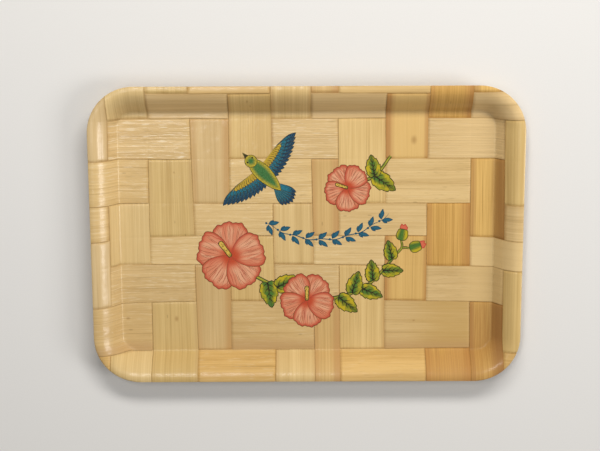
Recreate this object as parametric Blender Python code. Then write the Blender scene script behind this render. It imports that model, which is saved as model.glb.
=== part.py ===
"""Woven bamboo serving tray, 430 x 300 x 24 mm.

The tray is a pressed laminate: a face mat and a back mat, each woven from wide bamboo strips in a
2/2 twill, bonded to the two sides of a thin core sheet.  Four printed transfers lie on the face.
Every strip is its own solid that really passes over and under the strips it crosses.

Frame: metres, +Z up out of the well, +X along the long side.  The origin is the centre of the
underside, on the plane that the tray rests on.

The pressed form is one height field, form_height(x, y).  Each ply is a sheet on that form, moved
along the form's normal, made thick with Solidify and trimmed to the rim outline with a Boolean.
"""

import math

import bmesh
import bpy
from mathutils import Vector

MM = 0.001

# ---------------------------------------------------------------- driving dimensions
LENGTH = 430 * MM  # over the rim, along X
WIDTH = 300 * MM  # over the rim, along Y
HEIGHT = 24 * MM  # resting plane to the highest point of the rim
RIM_CORNER_RADIUS = 46 * MM
BASE_CORNER_RADIUS = 14 * MM

STRIP_THICKNESS = 0.45 * MM
WEAVE_GAP = 0.15 * MM  # resin between two strips that cross
CORE_THICKNESS = 0.70 * MM
BOND_GAP = 0.20 * MM  # resin between the core and a mat
SLIT = 1.2 * MM  # between two neighbouring strips, where a crossing strip dives through

WALL_ANGLE = math.radians(54)
LIP_ANGLE = math.radians(12)
FILLET_RADIUS = 4.5 * MM  # base into wall
ROLL_RADIUS = 30.5 * MM  # wall into lip
LIP_RUN = 1.5 * MM

# Where one strip ends and the next begins, between the two rims.  Both mats are cut alike.
CROSS_EDGES = [x * MM for x in (-198.5, -158, -113.5, -77.4, -33, 6, 32, 79, 121, 165, 198.5)]
LONG_EDGES = [y * MM for y in (144, 116.5, 75.3, 30.5, -2.8, -32.5, -70, -121.7)]

PRINT_THICKNESS = 0.10 * MM
PRINT_GAP = 0.10 * MM  # lacquer under the print

# ---------------------------------------------------------------- colours, linear RGB
CREAM = (0.68, 0.50, 0.26)
STRAW = (0.65, 0.46, 0.20)
TAN = (0.60, 0.41, 0.18)
OLIVE = (0.58, 0.43, 0.17)
HONEY = (0.62, 0.38, 0.13)
AMBER = (0.55, 0.31, 0.09)
VENEER = (0.50, 0.36, 0.19)
CORAL = (0.62, 0.16, 0.09)
TEAL = (0.03, 0.15, 0.24)

FACE_CROSS_TONES = (CREAM, TAN, OLIVE, TAN, STRAW, STRAW, TAN, HONEY, HONEY, AMBER, HONEY, STRAW)
FACE_LONG_TONES = (TAN, CREAM, CREAM, STRAW, STRAW, CREAM, TAN, TAN, HONEY)
BACK_TONES = (TAN, OLIVE, HONEY)  # repeated over the back mat's strips
LACQUER_ROUGHNESS = 0.30
RAW_ROUGHNESS = 0.60

# ---------------------------------------------------------------- derived dimensions
WEAVE_OFFSET = (STRIP_THICKNESS + WEAVE_GAP) / 2
MAT_THICKNESS = 2 * STRIP_THICKNESS + WEAVE_GAP
MAT_OFFSET = CORE_THICKNESS / 2 + BOND_GAP + MAT_THICKNESS / 2
HALF_LAMINATE = MAT_OFFSET + MAT_THICKNESS / 2
BASE_TOP = 2 * HALF_LAMINATE

FORM_RISE = HEIGHT - HALF_LAMINATE * (1 + 1 / math.cos(LIP_ANGLE))
FILLET_RUN = FILLET_RADIUS * math.sin(WALL_ANGLE)
FILLET_RISE = FILLET_RADIUS * (1 - math.cos(WALL_ANGLE))
ROLL_RUN = ROLL_RADIUS * (math.sin(WALL_ANGLE) - math.sin(LIP_ANGLE))
ROLL_RISE = ROLL_RADIUS * (math.cos(LIP_ANGLE) - math.cos(WALL_ANGLE))
LIP_RISE = LIP_RUN * math.tan(LIP_ANGLE)
SLOPE_RISE = FORM_RISE - FILLET_RISE - ROLL_RISE - LIP_RISE
SLOPE_RUN = SLOPE_RISE / math.tan(WALL_ANGLE)
ROLL_END = LIP_RUN + ROLL_RUN
SLOPE_END = ROLL_END + SLOPE_RUN
WALL_RUN = SLOPE_END + FILLET_RUN

TRIM_MARGIN = 3 * MM  # how far the mats stand past the rim before they are trimmed
FLAT_ANGLE = math.radians(0.4)  # faces closer than this to one plane are merged
SHARP_ANGLE = math.radians(30)
CORNER_STEPS = 8  # straight pieces in each rounded corner of the trimmed rim


# ---------------------------------------------------------------- the pressed form
def form_rise_at(inset):
    """Height of the form above its base, at a distance in from the rim."""
    if inset <= LIP_RUN:
        return FORM_RISE - inset * math.tan(LIP_ANGLE)
    if inset <= ROLL_END:
        sine = math.sin(LIP_ANGLE) + (inset - LIP_RUN) / ROLL_RADIUS
        dropped = ROLL_RADIUS * (math.cos(LIP_ANGLE) - math.sqrt(1 - sine * sine))
        return FORM_RISE - LIP_RISE - dropped
    if inset <= SLOPE_END:
        return FILLET_RISE + (SLOPE_END - inset) * math.tan(WALL_ANGLE)
    if inset <= WALL_RUN:
        reach = WALL_RUN - inset
        return FILLET_RADIUS - math.sqrt(FILLET_RADIUS**2 - reach**2)
    return 0.0


def inset_at(x, y):
    """Distance in from the rim.  The corner radius shrinks from the rim's to the base's on the way."""
    shrink = (RIM_CORNER_RADIUS - BASE_CORNER_RADIUS) / WALL_RUN
    drift = shrink - 1  # how far the arc's centre moves out for each metre of inset
    across = abs(x) - (LENGTH / 2 - RIM_CORNER_RADIUS)
    along = abs(y) - (WIDTH / 2 - RIM_CORNER_RADIUS)
    straight = RIM_CORNER_RADIUS - max(across, along)
    if min(across, along) <= 0:
        return straight
    a = shrink**2 - 2 * drift**2
    b = 2 * drift * (across + along) - 2 * shrink * RIM_CORNER_RADIUS
    c = RIM_CORNER_RADIUS**2 - across**2 - along**2
    root = max(b * b - 4 * a * c, 0.0)
    inset = (-b - math.sqrt(root)) / (2 * a)
    if min(across, along) - drift * inset <= 0:
        return straight
    return inset


def form_height(x, y):
    return HALF_LAMINATE + form_rise_at(inset_at(x, y))


def form_point(x, y, offset):
    """The point at this offset along the form's normal, above or below (x, y) on the form."""
    step = 0.05 * MM
    slope_x = (form_height(x + step, y) - form_height(x - step, y)) / (2 * step)
    slope_y = (form_height(x, y + step) - form_height(x, y - step)) / (2 * step)
    normal = Vector((-slope_x, -slope_y, 1)).normalized()
    return Vector((x, y, form_height(x, y))) + normal * offset


def form_lines(half_size):
    """Grid lines on one axis that follow the form's bends, on both sides of the tray."""
    fillet_middle = WALL_RUN - FILLET_RADIUS * math.sin(WALL_ANGLE / 2)
    roll_steps = [LIP_RUN + ROLL_RUN * k / 3 for k in (1, 2, 3)]
    base_steps = [(WALL_RUN + RIM_CORNER_RADIUS) / 2, RIM_CORNER_RADIUS]
    insets = [-TRIM_MARGIN, 0.0, *roll_steps, SLOPE_END, fillet_middle, WALL_RUN, *base_steps]
    return [half_size - d for d in insets] + [d - half_size for d in insets]


def grid_lines(half_size, edges):
    """The form's lines on one axis together with a line on each side of every slit."""
    slit_lines = [edge + side * SLIT / 2 for edge in edges for side in (-1, 1)]
    clear = [v for v in form_lines(half_size) if all(abs(v - k) > SLIT for k in slit_lines)]
    return sorted(clear + slit_lines)


# Every ply is built on this one grid, so that neighbouring plies stay parallel round the corners.
X_LINES = grid_lines(LENGTH / 2, CROSS_EDGES)
Y_LINES = grid_lines(WIDTH / 2, LONG_EDGES)


# ---------------------------------------------------------------- weave
def spans_between(edges):
    """(low, high) of each strip, with half a slit taken off both of its edges."""
    return [(low + SLIT / 2, high - SLIT / 2) for low, high in zip(edges, edges[1:])]


CROSS_SPANS = spans_between([X_LINES[0] - SLIT / 2, *CROSS_EDGES, X_LINES[-1] + SLIT / 2])
LONG_SPANS = spans_between([Y_LINES[0] - SLIT / 2, *LONG_EDGES[::-1], Y_LINES[-1] + SLIT / 2])[::-1]


def lines_within(lines, span):
    slack = 0.01 * MM
    return [v for v in lines if span[0] - slack <= v <= span[1] + slack]


def cross_is_upper(cross_index, long_index):
    """In this 2/2 twill, whether the cross strip is the upper one where the two meet."""
    return (cross_index + long_index) % 4 in (1, 2)


def crossed_at(position, spans):
    """Which of the crossed strips lies at this position."""
    return min(range(len(spans)), key=lambda k: max(spans[k][0] - position, position - spans[k][1]))


def strip_offset(side, is_upper):
    return side * (MAT_OFFSET + (WEAVE_OFFSET if is_upper else -WEAVE_OFFSET))


def cross_strip(mat_name, side, index):
    """A strip along Y."""
    lines = lines_within(X_LINES, CROSS_SPANS[index])
    offsets = [strip_offset(side, cross_is_upper(index, crossed_at(y, LONG_SPANS))) for y in Y_LINES]
    name = f"{mat_name}_cross_strip_{index + 1:02d}"
    return laminate_object(name, sheet_mesh(name, lines, Y_LINES, lambda i, j: offsets[j]), STRIP_THICKNESS)


def long_strip(mat_name, side, index):
    """A strip along X."""
    lines = lines_within(Y_LINES, LONG_SPANS[index])
    offsets = [strip_offset(side, not cross_is_upper(crossed_at(x, CROSS_SPANS), index)) for x in X_LINES]
    name = f"{mat_name}_long_strip_{index + 1}"
    return laminate_object(name, sheet_mesh(name, X_LINES, lines, lambda i, j: offsets[i]), STRIP_THICKNESS)


def woven_mat(name, side, cross_tones, long_tones):
    for index in range(len(CROSS_SPANS)):
        finish(cross_strip(name, side, index), cross_tones[index % len(cross_tones)], LACQUER_ROUGHNESS)
    for index in range(len(LONG_SPANS)):
        finish(long_strip(name, side, index), long_tones[index % len(long_tones)], LACQUER_ROUGHNESS)


# ---------------------------------------------------------------- sheets on the form
def add_cell(bm, a, b, c, d):
    """Two triangles that share the diagonal running round the tray's nearest corner."""
    if a.co.x * a.co.y > 0:
        bm.faces.new((a, b, d))
        bm.faces.new((b, c, d))
    else:
        bm.faces.new((a, b, c))
        bm.faces.new((a, c, d))


def sheet_mesh(name, x_lines, y_lines, offset_at):
    """A sheet on the form: a grid whose flat areas are merged into single faces."""
    bm = bmesh.new()
    grid = []
    for j, y in enumerate(y_lines):
        grid.append([bm.verts.new(form_point(x, y, offset_at(i, j))) for i, x in enumerate(x_lines)])
    for low, high in zip(grid, grid[1:]):
        for i in range(len(x_lines) - 1):
            add_cell(bm, low[i], low[i + 1], high[i + 1], high[i])
    bmesh.ops.dissolve_limit(bm, angle_limit=FLAT_ANGLE, verts=bm.verts, edges=bm.edges)
    mesh = bpy.data.meshes.new(name)
    bm.to_mesh(mesh)
    bm.free()
    mesh.shade_smooth()
    mesh.set_sharp_from_angle(angle=SHARP_ANGLE)
    return mesh


def laminate_object(name, mesh, thickness):
    """A sheet made thick about its own middle and trimmed to the rim outline."""
    obj = bpy.data.objects.new(name, mesh)
    bpy.context.collection.objects.link(obj)
    solid = obj.modifiers.new("thickness", "SOLIDIFY")
    solid.thickness = thickness
    solid.offset = 0
    trim = obj.modifiers.new("trim", "BOOLEAN")
    trim.operation = "INTERSECT"
    trim.object = bpy.data.objects["trim_outline"]
    return obj


def core_sheet():
    """The plain sheet in the middle of the laminate."""
    mesh = sheet_mesh("core_sheet", X_LINES, Y_LINES, lambda i, j: 0.0)
    return laminate_object("core_sheet", mesh, CORE_THICKNESS)


# ---------------------------------------------------------------- plates and outlines
def prism_mesh(name, outline, low, high):
    """A closed prism over a flat outline that runs anticlockwise."""
    bm = bmesh.new()
    face = bm.faces.new([bm.verts.new((x, y, low)) for x, y in outline])
    bmesh.ops.extrude_face_region(bm, geom=[face], use_keep_orig=True)
    top = [v for v in bm.verts if v not in face.verts]
    bmesh.ops.translate(bm, verts=top, vec=(0, 0, high - low))
    bmesh.ops.recalc_face_normals(bm, faces=bm.faces)
    mesh = bpy.data.meshes.new(name)
    bm.to_mesh(mesh)
    bm.free()
    return mesh


def as_helper(obj):
    """A cutter or another solid that only shapes the parts."""
    obj.hide_render = True
    obj.display_type = "WIRE"
    return obj


def trim_outline():
    """The rounded rectangle that the pressed laminate is cut to, as a tall cutter."""
    points = []
    corners = ((1, 1, 0), (-1, 1, 90), (-1, -1, 180), (1, -1, 270))
    for sign_x, sign_y, start in corners:
        for k in range(CORNER_STEPS + 1):
            angle = math.radians(start + 90 * k / CORNER_STEPS)
            x = sign_x * (LENGTH / 2 - RIM_CORNER_RADIUS) + RIM_CORNER_RADIUS * math.cos(angle)
            y = sign_y * (WIDTH / 2 - RIM_CORNER_RADIUS) + RIM_CORNER_RADIUS * math.sin(angle)
            points.append((x, y))
    mesh = prism_mesh("trim_outline", points, -HEIGHT, 2 * HEIGHT)
    obj = bpy.data.objects.new("trim_outline", mesh)
    bpy.context.collection.objects.link(obj)
    return as_helper(obj)


def moved(outline, centre, degrees=0):
    """An outline in millimetres, turned and moved to its place on the tray, in metres."""
    c, s = math.cos(math.radians(degrees)), math.sin(math.radians(degrees))
    cx, cy = centre
    return [((cx + x * c - y * s) * MM, (cy + x * s + y * c) * MM) for x, y in outline]


def flower_outline(radius, points=30):
    """Five rounded petals."""
    angles = [2 * math.pi * k / points for k in range(points)]
    radii = [radius * (0.78 + 0.22 * abs(math.cos(2.5 * a)) ** 0.6) for a in angles]
    return [(r * math.cos(a), r * math.sin(a)) for r, a in zip(radii, angles)]


def leaf_outline(length, width, points=6):
    """A pointed oval from the origin along +X."""
    side = []
    for k in range(points + 1):
        side.append((length * k / points, width / 2 * math.sin(math.pi * k / points) ** 0.8))
    return [(x, -y) for x, y in side] + [(x, y) for x, y in reversed(side[1:-1])]


def stem_outline(start, end, width):
    """A straight bar between two points, a little longer at both ends so that it joins."""
    run = math.dist(start, end)
    bar = [(-width, -width / 2), (run + width, -width / 2), (run + width, width / 2), (-width, width / 2)]
    degrees = math.degrees(math.atan2(end[1] - start[1], end[0] - start[0]))
    return bar, start, degrees


def print_object(name, shapes):
    """One printed transfer: the union of its shapes, lying just above the face mat."""
    low = BASE_TOP + PRINT_GAP
    outlines = [moved(outline, centre, degrees) for outline, centre, degrees in shapes]
    first = prism_mesh(name, outlines[0], low, low + PRINT_THICKNESS)
    obj = bpy.data.objects.new(name, first)
    bpy.context.collection.objects.link(obj)
    for k, outline in enumerate(outlines[1:], 1):
        mesh = prism_mesh(f"{name}_shape_{k}", outline, low, low + PRINT_THICKNESS)
        other = bpy.data.objects.new(f"{name}_shape_{k}", mesh)
        bpy.context.collection.objects.link(other)
        as_helper(other)
        union = obj.modifiers.new(f"union_{k}", "BOOLEAN")
        union.operation = "UNION"
        union.object = other
    return obj


def print_bird():
    """A small bird in flight: body, head, beak, two raised wings and a fanned tail."""
    return print_object(
        "print_bird",
        [
            (leaf_outline(50, 24), (-72, 66), -38),
            (leaf_outline(22, 15), (-73, 67), -5),
            (leaf_outline(20, 2.6), (-87, 71), -18),
            (leaf_outline(47, 15), (-47, 52), 92),
            (leaf_outline(68, 26), (-38, 48), 52),
            (leaf_outline(30, 20), (-34, 41), -32),
        ],
    )


def print_sprig():
    """One flower with two leaves on a short stem."""
    return print_object(
        "print_sprig",
        [
            (flower_outline(23), (39, 46), 90),
            stem_outline((58, 53), (72, 59), 2),
            stem_outline((72, 59), (80, 74), 2),
            stem_outline((75, 68), (68, 71), 2),
            (leaf_outline(19, 17), (68, 70), 112),
            (leaf_outline(33, 21), (73, 61), -68),
        ],
    )


def print_spray():
    """Two flowers on a long branch with leaves and buds."""
    return print_object(
        "print_spray",
        [
            (flower_outline(36), (-79, -20), 75),
            (flower_outline(27), (-2, -72), 80),
            stem_outline((-56, -40), (-16, -58), 3.5),
            (leaf_outline(33, 23), (-46, -43), 235),
            (leaf_outline(22, 14), (-33, -53), 74),
            stem_outline((10, -65), (44, -58), 2.5),
            stem_outline((44, -58), (72, -46), 2.5),
            stem_outline((10, -71), (46, -63), 2.5),
            stem_outline((46, -63), (72, -49), 2.5),
            (leaf_outline(29, 17), (34, -62), 76),
            (leaf_outline(25, 17), (39, -63), 250),
            (leaf_outline(48, 39), (86, -23), 268),
            stem_outline((70, -50), (60, -72), 2.5),
            stem_outline((71, -50), (69, -84), 2.5),
            (leaf_outline(18, 12), (62, -67), 250),
            (leaf_outline(17, 12), (69, -79), 268),
            stem_outline((86, -24), (98, -6), 2.5),
            stem_outline((98, -6), (108, 12), 2.5),
        ],
    )


def print_border():
    """A garland of ten pairs of leaves on a thin curved line, an ornament with no lettering."""
    centre, radius, half_line = (15, 92), 99, 0.6
    first, last, pairs = 235, 313, 10
    angles = [math.radians(first + (last - first) * k / 20) for k in range(21)]
    inner = [((radius - half_line) * math.cos(a), (radius - half_line) * math.sin(a)) for a in angles]
    outer = [((radius + half_line) * math.cos(a), (radius + half_line) * math.sin(a)) for a in angles]
    shapes = [(outer + inner[::-1], centre, 0)]
    for k in range(pairs):
        degrees = first + (last - first) * (k + 0.3) / pairs
        turn = math.radians(degrees)
        root = (centre[0] + radius * math.cos(turn), centre[1] + radius * math.sin(turn))
        for lean in (-40, 40):
            shapes.append((leaf_outline(11, 4.4, 4), root, degrees + 90 + lean))
    return print_object("print_border", shapes)


# ---------------------------------------------------------------- materials
def finish(obj, colour, roughness):
    """Gives an object its own material."""
    made = bpy.data.materials.new(f"{obj.name}_finish")
    made.use_nodes = True
    shader = made.node_tree.nodes["Principled BSDF"]
    shader.inputs["Base Color"].default_value = (*colour, 1)
    shader.inputs["Roughness"].default_value = roughness
    shader.inputs["Metallic"].default_value = 0
    obj.data.materials.append(made)


def main():
    for obj in list(bpy.data.objects):
        bpy.data.objects.remove(obj)
    trim_outline()
    woven_mat("face", 1, FACE_CROSS_TONES, FACE_LONG_TONES)
    woven_mat("back", -1, BACK_TONES, BACK_TONES)
    finish(core_sheet(), VENEER, RAW_ROUGHNESS)
    finish(print_bird(), TEAL, LACQUER_ROUGHNESS)
    finish(print_sprig(), CORAL, LACQUER_ROUGHNESS)
    finish(print_spray(), CORAL, LACQUER_ROUGHNESS)
    finish(print_border(), TEAL, LACQUER_ROUGHNESS)


main()
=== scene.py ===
import math

import bmesh
import bpy
import numpy as np
from mathutils import Euler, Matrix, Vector
from mathutils.geometry import delaunay_2d_cdt


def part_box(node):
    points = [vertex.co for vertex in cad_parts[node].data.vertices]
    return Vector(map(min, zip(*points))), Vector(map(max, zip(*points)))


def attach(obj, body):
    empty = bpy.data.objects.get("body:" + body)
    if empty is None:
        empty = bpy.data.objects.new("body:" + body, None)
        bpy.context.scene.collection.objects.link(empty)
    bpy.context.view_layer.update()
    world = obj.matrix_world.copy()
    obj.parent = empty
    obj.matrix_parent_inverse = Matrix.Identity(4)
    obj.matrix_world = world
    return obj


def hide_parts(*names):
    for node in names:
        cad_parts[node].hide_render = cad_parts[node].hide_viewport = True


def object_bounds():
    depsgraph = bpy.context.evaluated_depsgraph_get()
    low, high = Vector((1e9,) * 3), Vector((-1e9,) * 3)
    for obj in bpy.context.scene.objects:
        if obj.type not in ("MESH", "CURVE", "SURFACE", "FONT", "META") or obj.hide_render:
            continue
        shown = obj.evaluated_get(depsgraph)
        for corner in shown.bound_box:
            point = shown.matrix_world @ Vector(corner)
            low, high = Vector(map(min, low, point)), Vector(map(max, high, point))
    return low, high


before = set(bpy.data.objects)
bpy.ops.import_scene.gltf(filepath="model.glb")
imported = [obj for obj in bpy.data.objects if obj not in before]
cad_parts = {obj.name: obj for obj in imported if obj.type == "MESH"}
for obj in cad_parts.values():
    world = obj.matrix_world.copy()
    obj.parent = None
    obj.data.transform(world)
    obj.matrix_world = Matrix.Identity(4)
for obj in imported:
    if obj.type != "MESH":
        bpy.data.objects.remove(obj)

CAD_LOW, CAD_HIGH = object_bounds()
MM = 0.001

# ---------------------------------------------------------------- the pressed form
LENGTH = CAD_HIGH.x - CAD_LOW.x
WIDTH = CAD_HIGH.y - CAD_LOW.y
HEIGHT = CAD_HIGH.z - CAD_LOW.z
FACE_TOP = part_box("print_bird")[0].z - 0.1 * MM
RIM_RADIUS = 46 * MM
BASE_RADIUS = 14 * MM
HALF_LAMINATE = FACE_TOP / 2
STRIP = 0.45 * MM
CORE = 0.70 * MM
WEAVE_STEP = 0.30 * MM
MAT_OFFSET = HALF_LAMINATE - STRIP / 2 - WEAVE_STEP
WALL_ANGLE, LIP_ANGLE = math.radians(54), math.radians(12)
FILLET, ROLL, LIP = 4.5 * MM, 30.5 * MM, 1.5 * MM

FORM_RISE = HEIGHT - HALF_LAMINATE * (1 + 1 / math.cos(LIP_ANGLE))
FILLET_RUN, FILLET_RISE = FILLET * math.sin(WALL_ANGLE), FILLET * (1 - math.cos(WALL_ANGLE))
ROLL_RUN = ROLL * (math.sin(WALL_ANGLE) - math.sin(LIP_ANGLE))
ROLL_RISE = ROLL * (math.cos(LIP_ANGLE) - math.cos(WALL_ANGLE))
LIP_RISE = LIP * math.tan(LIP_ANGLE)
ROLL_END = LIP + ROLL_RUN
SLOPE_END = ROLL_END + (FORM_RISE - FILLET_RISE - ROLL_RISE - LIP_RISE) / math.tan(WALL_ANGLE)
WALL_RUN = SLOPE_END + FILLET_RUN

# The form is the CAD's up to the rim, where the CAD has a plain lip. The real rim bends over and
# down along its outer edge, and the form is stretched a little so that it keeps its height.
CURL_RUN = 9 * MM
CURL_RADIUS = 19.5 * MM
STRETCH = 1.083


def rise_at(d):
    sine = np.clip(math.sin(LIP_ANGLE) + (d - LIP) / ROLL, 0, 0.95)
    roll = FORM_RISE - LIP_RISE - ROLL * (math.cos(LIP_ANGLE) - np.sqrt(1 - sine * sine))
    reach = np.clip(WALL_RUN - d, 0, FILLET)
    fillet = FILLET - np.sqrt(FILLET**2 - reach**2)
    slope = FILLET_RISE + (SLOPE_END - d) * math.tan(WALL_ANGLE)
    lip = FORM_RISE - d * math.tan(LIP_ANGLE)
    zones = [d <= LIP, d <= ROLL_END, d <= SLOPE_END, d <= WALL_RUN]
    pressed = np.select(zones, [lip, roll, slope, fillet], 0.0)
    return STRETCH * (pressed - np.clip(CURL_RUN - d, 0, None) ** 2 / (2 * CURL_RADIUS))


def inset_at(x, y):
    shrink = (RIM_RADIUS - BASE_RADIUS) / WALL_RUN
    drift = shrink - 1
    u = np.abs(x) - (LENGTH / 2 - RIM_RADIUS)
    v = np.abs(y) - (WIDTH / 2 - RIM_RADIUS)
    straight = RIM_RADIUS - np.maximum(u, v)
    a = shrink**2 - 2 * drift**2
    b = 2 * drift * (u + v) - 2 * shrink * RIM_RADIUS
    c = RIM_RADIUS**2 - u**2 - v**2
    corner = (-b - np.sqrt(np.maximum(b * b - 4 * a * c, 0))) / (2 * a)
    rounded = (np.minimum(u, v) > 0) & (np.minimum(u, v) - drift * corner > 0)
    return np.where(rounded, corner, straight)


def form_height(x, y):
    return HALF_LAMINATE + rise_at(inset_at(x, y))


def form_points(x, y, offset):
    step = 0.1 * MM
    sx = (form_height(x + step, y) - form_height(x - step, y)) / (2 * step)
    sy = (form_height(x, y + step) - form_height(x, y - step)) / (2 * step)
    n = np.stack([-sx, -sy, np.ones_like(sx)], -1)
    n /= np.linalg.norm(n, axis=-1, keepdims=True)
    return np.stack([x, y, form_height(x, y)], -1) + n * offset[..., None]


def rim_at(axis, other):
    """Half-extent of the rim outline along axis, at this position on the other axis."""
    half, half_other = (LENGTH / 2, WIDTH / 2) if axis == 0 else (WIDTH / 2, LENGTH / 2)
    past = np.clip(np.abs(other) - (half_other - RIM_RADIUS), 0, RIM_RADIUS)
    return half - RIM_RADIUS + np.sqrt(RIM_RADIUS**2 - past**2)


# ---------------------------------------------------------------- where the strips meet
def cad_edges(names, axis):
    """Where each strip ends and the next begins, midway between their CAD boxes."""
    boxes = [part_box(name) for name in names]
    inner = [(a[1][axis] + b[0][axis]) / 2 for a, b in zip(boxes, boxes[1:])]
    return np.array([[CAD_LOW, CAD_HIGH][0][axis], *inner, CAD_HIGH[axis]])


CROSS_NAMES = [f"cross_strip_{k:02d}" for k in range(1, 13)]
LONG_NAMES = [f"long_strip_{k}" for k in range(9, 0, -1)]  # from the -Y side
EDGES = (
    cad_edges([f"face_{n}" for n in CROSS_NAMES], 0),
    cad_edges([f"face_{n}" for n in LONG_NAMES], 1),
)
# How far each cross edge leans: millimetres of shift at the +Y wall and at the -Y wall.
CROSS_LEAN = {
    1: (0.9, -1.5), 3: (-2.4, 2.3), 5: (-2.1, 1.0), 6: (-1.5, 2.2), 7: (-0.7, 1.7), 10: (-1.7, 1.3),
    11: (-1.0, 1.4),
}
# The same for the long edges, counted from the -Y side, at the -X and the +X wall, and their sag.
LONG_LEAN = {
    1: (-1.5, 0.4), 2: (-0.5, -0.5), 3: (1.5, -2.0), 4: (0.4, -0.4), 5: (0.3, -0.3), 6: (0.5, 0.2),
}
LONG_SAG = {2: -3.0, 3: -2.0, 4: -2.8}


def edge_at(axis, index, other):
    """Position of a strip edge on its axis at this position along the strip."""
    base = EDGES[axis][index]
    if index in (0, len(EDGES[axis]) - 1):
        return np.full_like(other, base)
    wave = 0.22 * MM * np.sin(other / (31 * MM) + 2.4 * index + axis)
    if axis == 0:
        top, bottom = CROSS_LEAN.get(index, (0, 0))
        t = np.clip(0.5 - other / WIDTH * 1.2, 0, 1)
        return base + (top * (1 - t) + bottom * t) * MM + wave
    left, right = LONG_LEAN.get(index, (0, 0))
    t = np.clip(0.5 + other / LENGTH * 1.1, 0, 1)
    sag = LONG_SAG.get(index, 0) * np.clip(np.abs(other) / (LENGTH / 2), 0, 1) ** 3
    return base + (left * (1 - t) + right * t + sag) * MM + wave


def cross_is_upper(column, row):
    return (column + row) % 4 in (1, 2)


ROWS = len(LONG_NAMES)


def uppers(axis, index):
    """For the strip that runs along axis, whether it is the upper one in each cell it passes."""
    if axis == 1:
        return [cross_is_upper(index, ROWS - 1 - k) for k in range(ROWS)]
    return [not cross_is_upper(k, ROWS - 1 - index) for k in range(len(CROSS_NAMES))]


# ---------------------------------------------------------------- grids
SLIT = 0.14 * MM
DIVE = (2.6 * MM, 0.25 * MM)  # a strip starts down this far before an edge and is down this far past it
EDGE_ROUND = 0.20 * MM
RIM_ROUND = 0.40 * MM


def merged(lines, keep, clear):
    """keep, with every line that stands at least clear away from all of it and from its neighbour."""
    out = list(keep)
    for v in sorted(lines):
        if all(abs(v - k) >= clear for k in out):
            out.append(v)
    return np.array(sorted(out))


def form_lines(half, pitch):
    insets = [0, 0.15, 0.4, 0.8, 1.5, *np.arange(3, 19.9, 1.6), 21.5, 23.2, *np.arange(24.4, 28.6, 0.55)]
    arc = [half - RIM_RADIUS + RIM_RADIUS * math.sin(math.radians(a)) for a in range(0, 90, 4)]
    side = [half - d * MM for d in insets] + arc
    flat = np.arange(0, half - 29 * MM, pitch)
    every = [*side, *flat]
    return sorted({round(v, 7) for v in [*every, *[-v for v in every]]})


def along_lines(axis, index, fine):
    """Grid lines along a strip: the form's, and a cluster at every edge it crosses."""
    half = (LENGTH if axis == 0 else WIDTH) / 2
    cluster = (-2.6, -2.1, -1.6, -1.1, -0.65, -0.2, 0.25) if fine else (-2.6, -1.1, 0.25)
    keep = [-half, half]
    over = uppers(axis, index)
    for k, edge in enumerate(EDGES[axis][1:-1]):
        if over[k] == over[k + 1]:
            keep += [edge + d * MM for d in ((-1.2, -0.5, 0, 0.5, 1.2) if fine and over[k] else (0,))]
        else:
            sign = 1 if over[k] else -1
            keep += [edge + sign * d * MM for d in cluster]
    return merged(form_lines(half, (4 if fine else 8) * MM), keep, 0.25 * MM)


def across_lines(axis, low, high, fine):
    """Positions across a strip, with clusters at both of its edges."""
    half = (WIDTH if axis == 0 else LENGTH) / 2
    steps = (0, 0.04, 0.12, 0.3, 1.0) if fine else (0, 0.1, 1.0)
    keep = [low + d * MM for d in steps] + [high - d * MM for d in steps]
    inner = [v for v in form_lines(half, (4 if fine else 8) * MM) if low + 1.5 * MM < v < high - 1.5 * MM]
    return merged(inner, keep, 0.3 * MM)


def smoothstep(t):
    t = np.clip(t, 0, 1)
    return t * t * (3 - 2 * t)


def weave_profile(axis, index, s):
    """+1 where a strip lies over, -1 where it lies under, and the ghost of each edge that it covers."""
    over = uppers(axis, index)
    level = np.full_like(s, 1.0 if over[0] else -1.0)
    ghost = np.zeros_like(s)
    seam = np.full_like(s, 20.0)
    for k, edge in enumerate(EDGES[axis][1:-1]):
        if over[k] != over[k + 1]:
            if over[k]:
                t = smoothstep((s - (edge - DIVE[0])) / (DIVE[0] + DIVE[1]))
            else:
                t = smoothstep((s - (edge - DIVE[1])) / (DIVE[0] + DIVE[1]))
            level = level + (1 if over[k + 1] else -1) * 2 * t
            seam = np.minimum(seam, 0.45 * np.abs(s - edge) / MM)  # the slope down is dull, and its colour is darkened with painted shade
        elif over[k]:
            ghost = ghost + np.exp(-((s - edge) / (0.7 * MM)) ** 2)
    return level, ghost, seam


# ---------------------------------------------------------------- meshes
def quad_mesh(name, points, quads, fields):
    mesh = bpy.data.meshes.new(name)
    mesh.vertices.add(len(points))
    mesh.vertices.foreach_set("co", np.ascontiguousarray(points, np.float32).ravel())
    mesh.loops.add(4 * len(quads))
    mesh.loops.foreach_set("vertex_index", np.ascontiguousarray(quads, np.int32).ravel())
    mesh.polygons.add(len(quads))
    mesh.polygons.foreach_set("loop_start", np.arange(0, 4 * len(quads), 4, dtype=np.int32))
    mesh.update(calc_edges=True)
    for key, values in fields.items():
        kind = "FLOAT_VECTOR" if values.ndim == 2 else "FLOAT"
        layer = mesh.attributes.new(key, kind, "POINT")
        prop = "vector" if kind == "FLOAT_VECTOR" else "value"
        layer.data.foreach_set(prop, np.ascontiguousarray(values, np.float32).ravel())
    return mesh


def tidy_mesh(mesh, sharp_degrees=40):
    """Welds what the rim has squeezed together and turns every face outwards."""
    bm = bmesh.new()
    bm.from_mesh(mesh)
    bmesh.ops.remove_doubles(bm, verts=bm.verts, dist=2e-6)
    bmesh.ops.dissolve_degenerate(bm, dist=1e-6, edges=bm.edges)
    bmesh.ops.recalc_face_normals(bm, faces=bm.faces)
    bm.to_mesh(mesh)
    bm.free()
    mesh.shade_smooth()
    mesh.set_sharp_from_angle(angle=math.radians(sharp_degrees))
    return mesh


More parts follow.
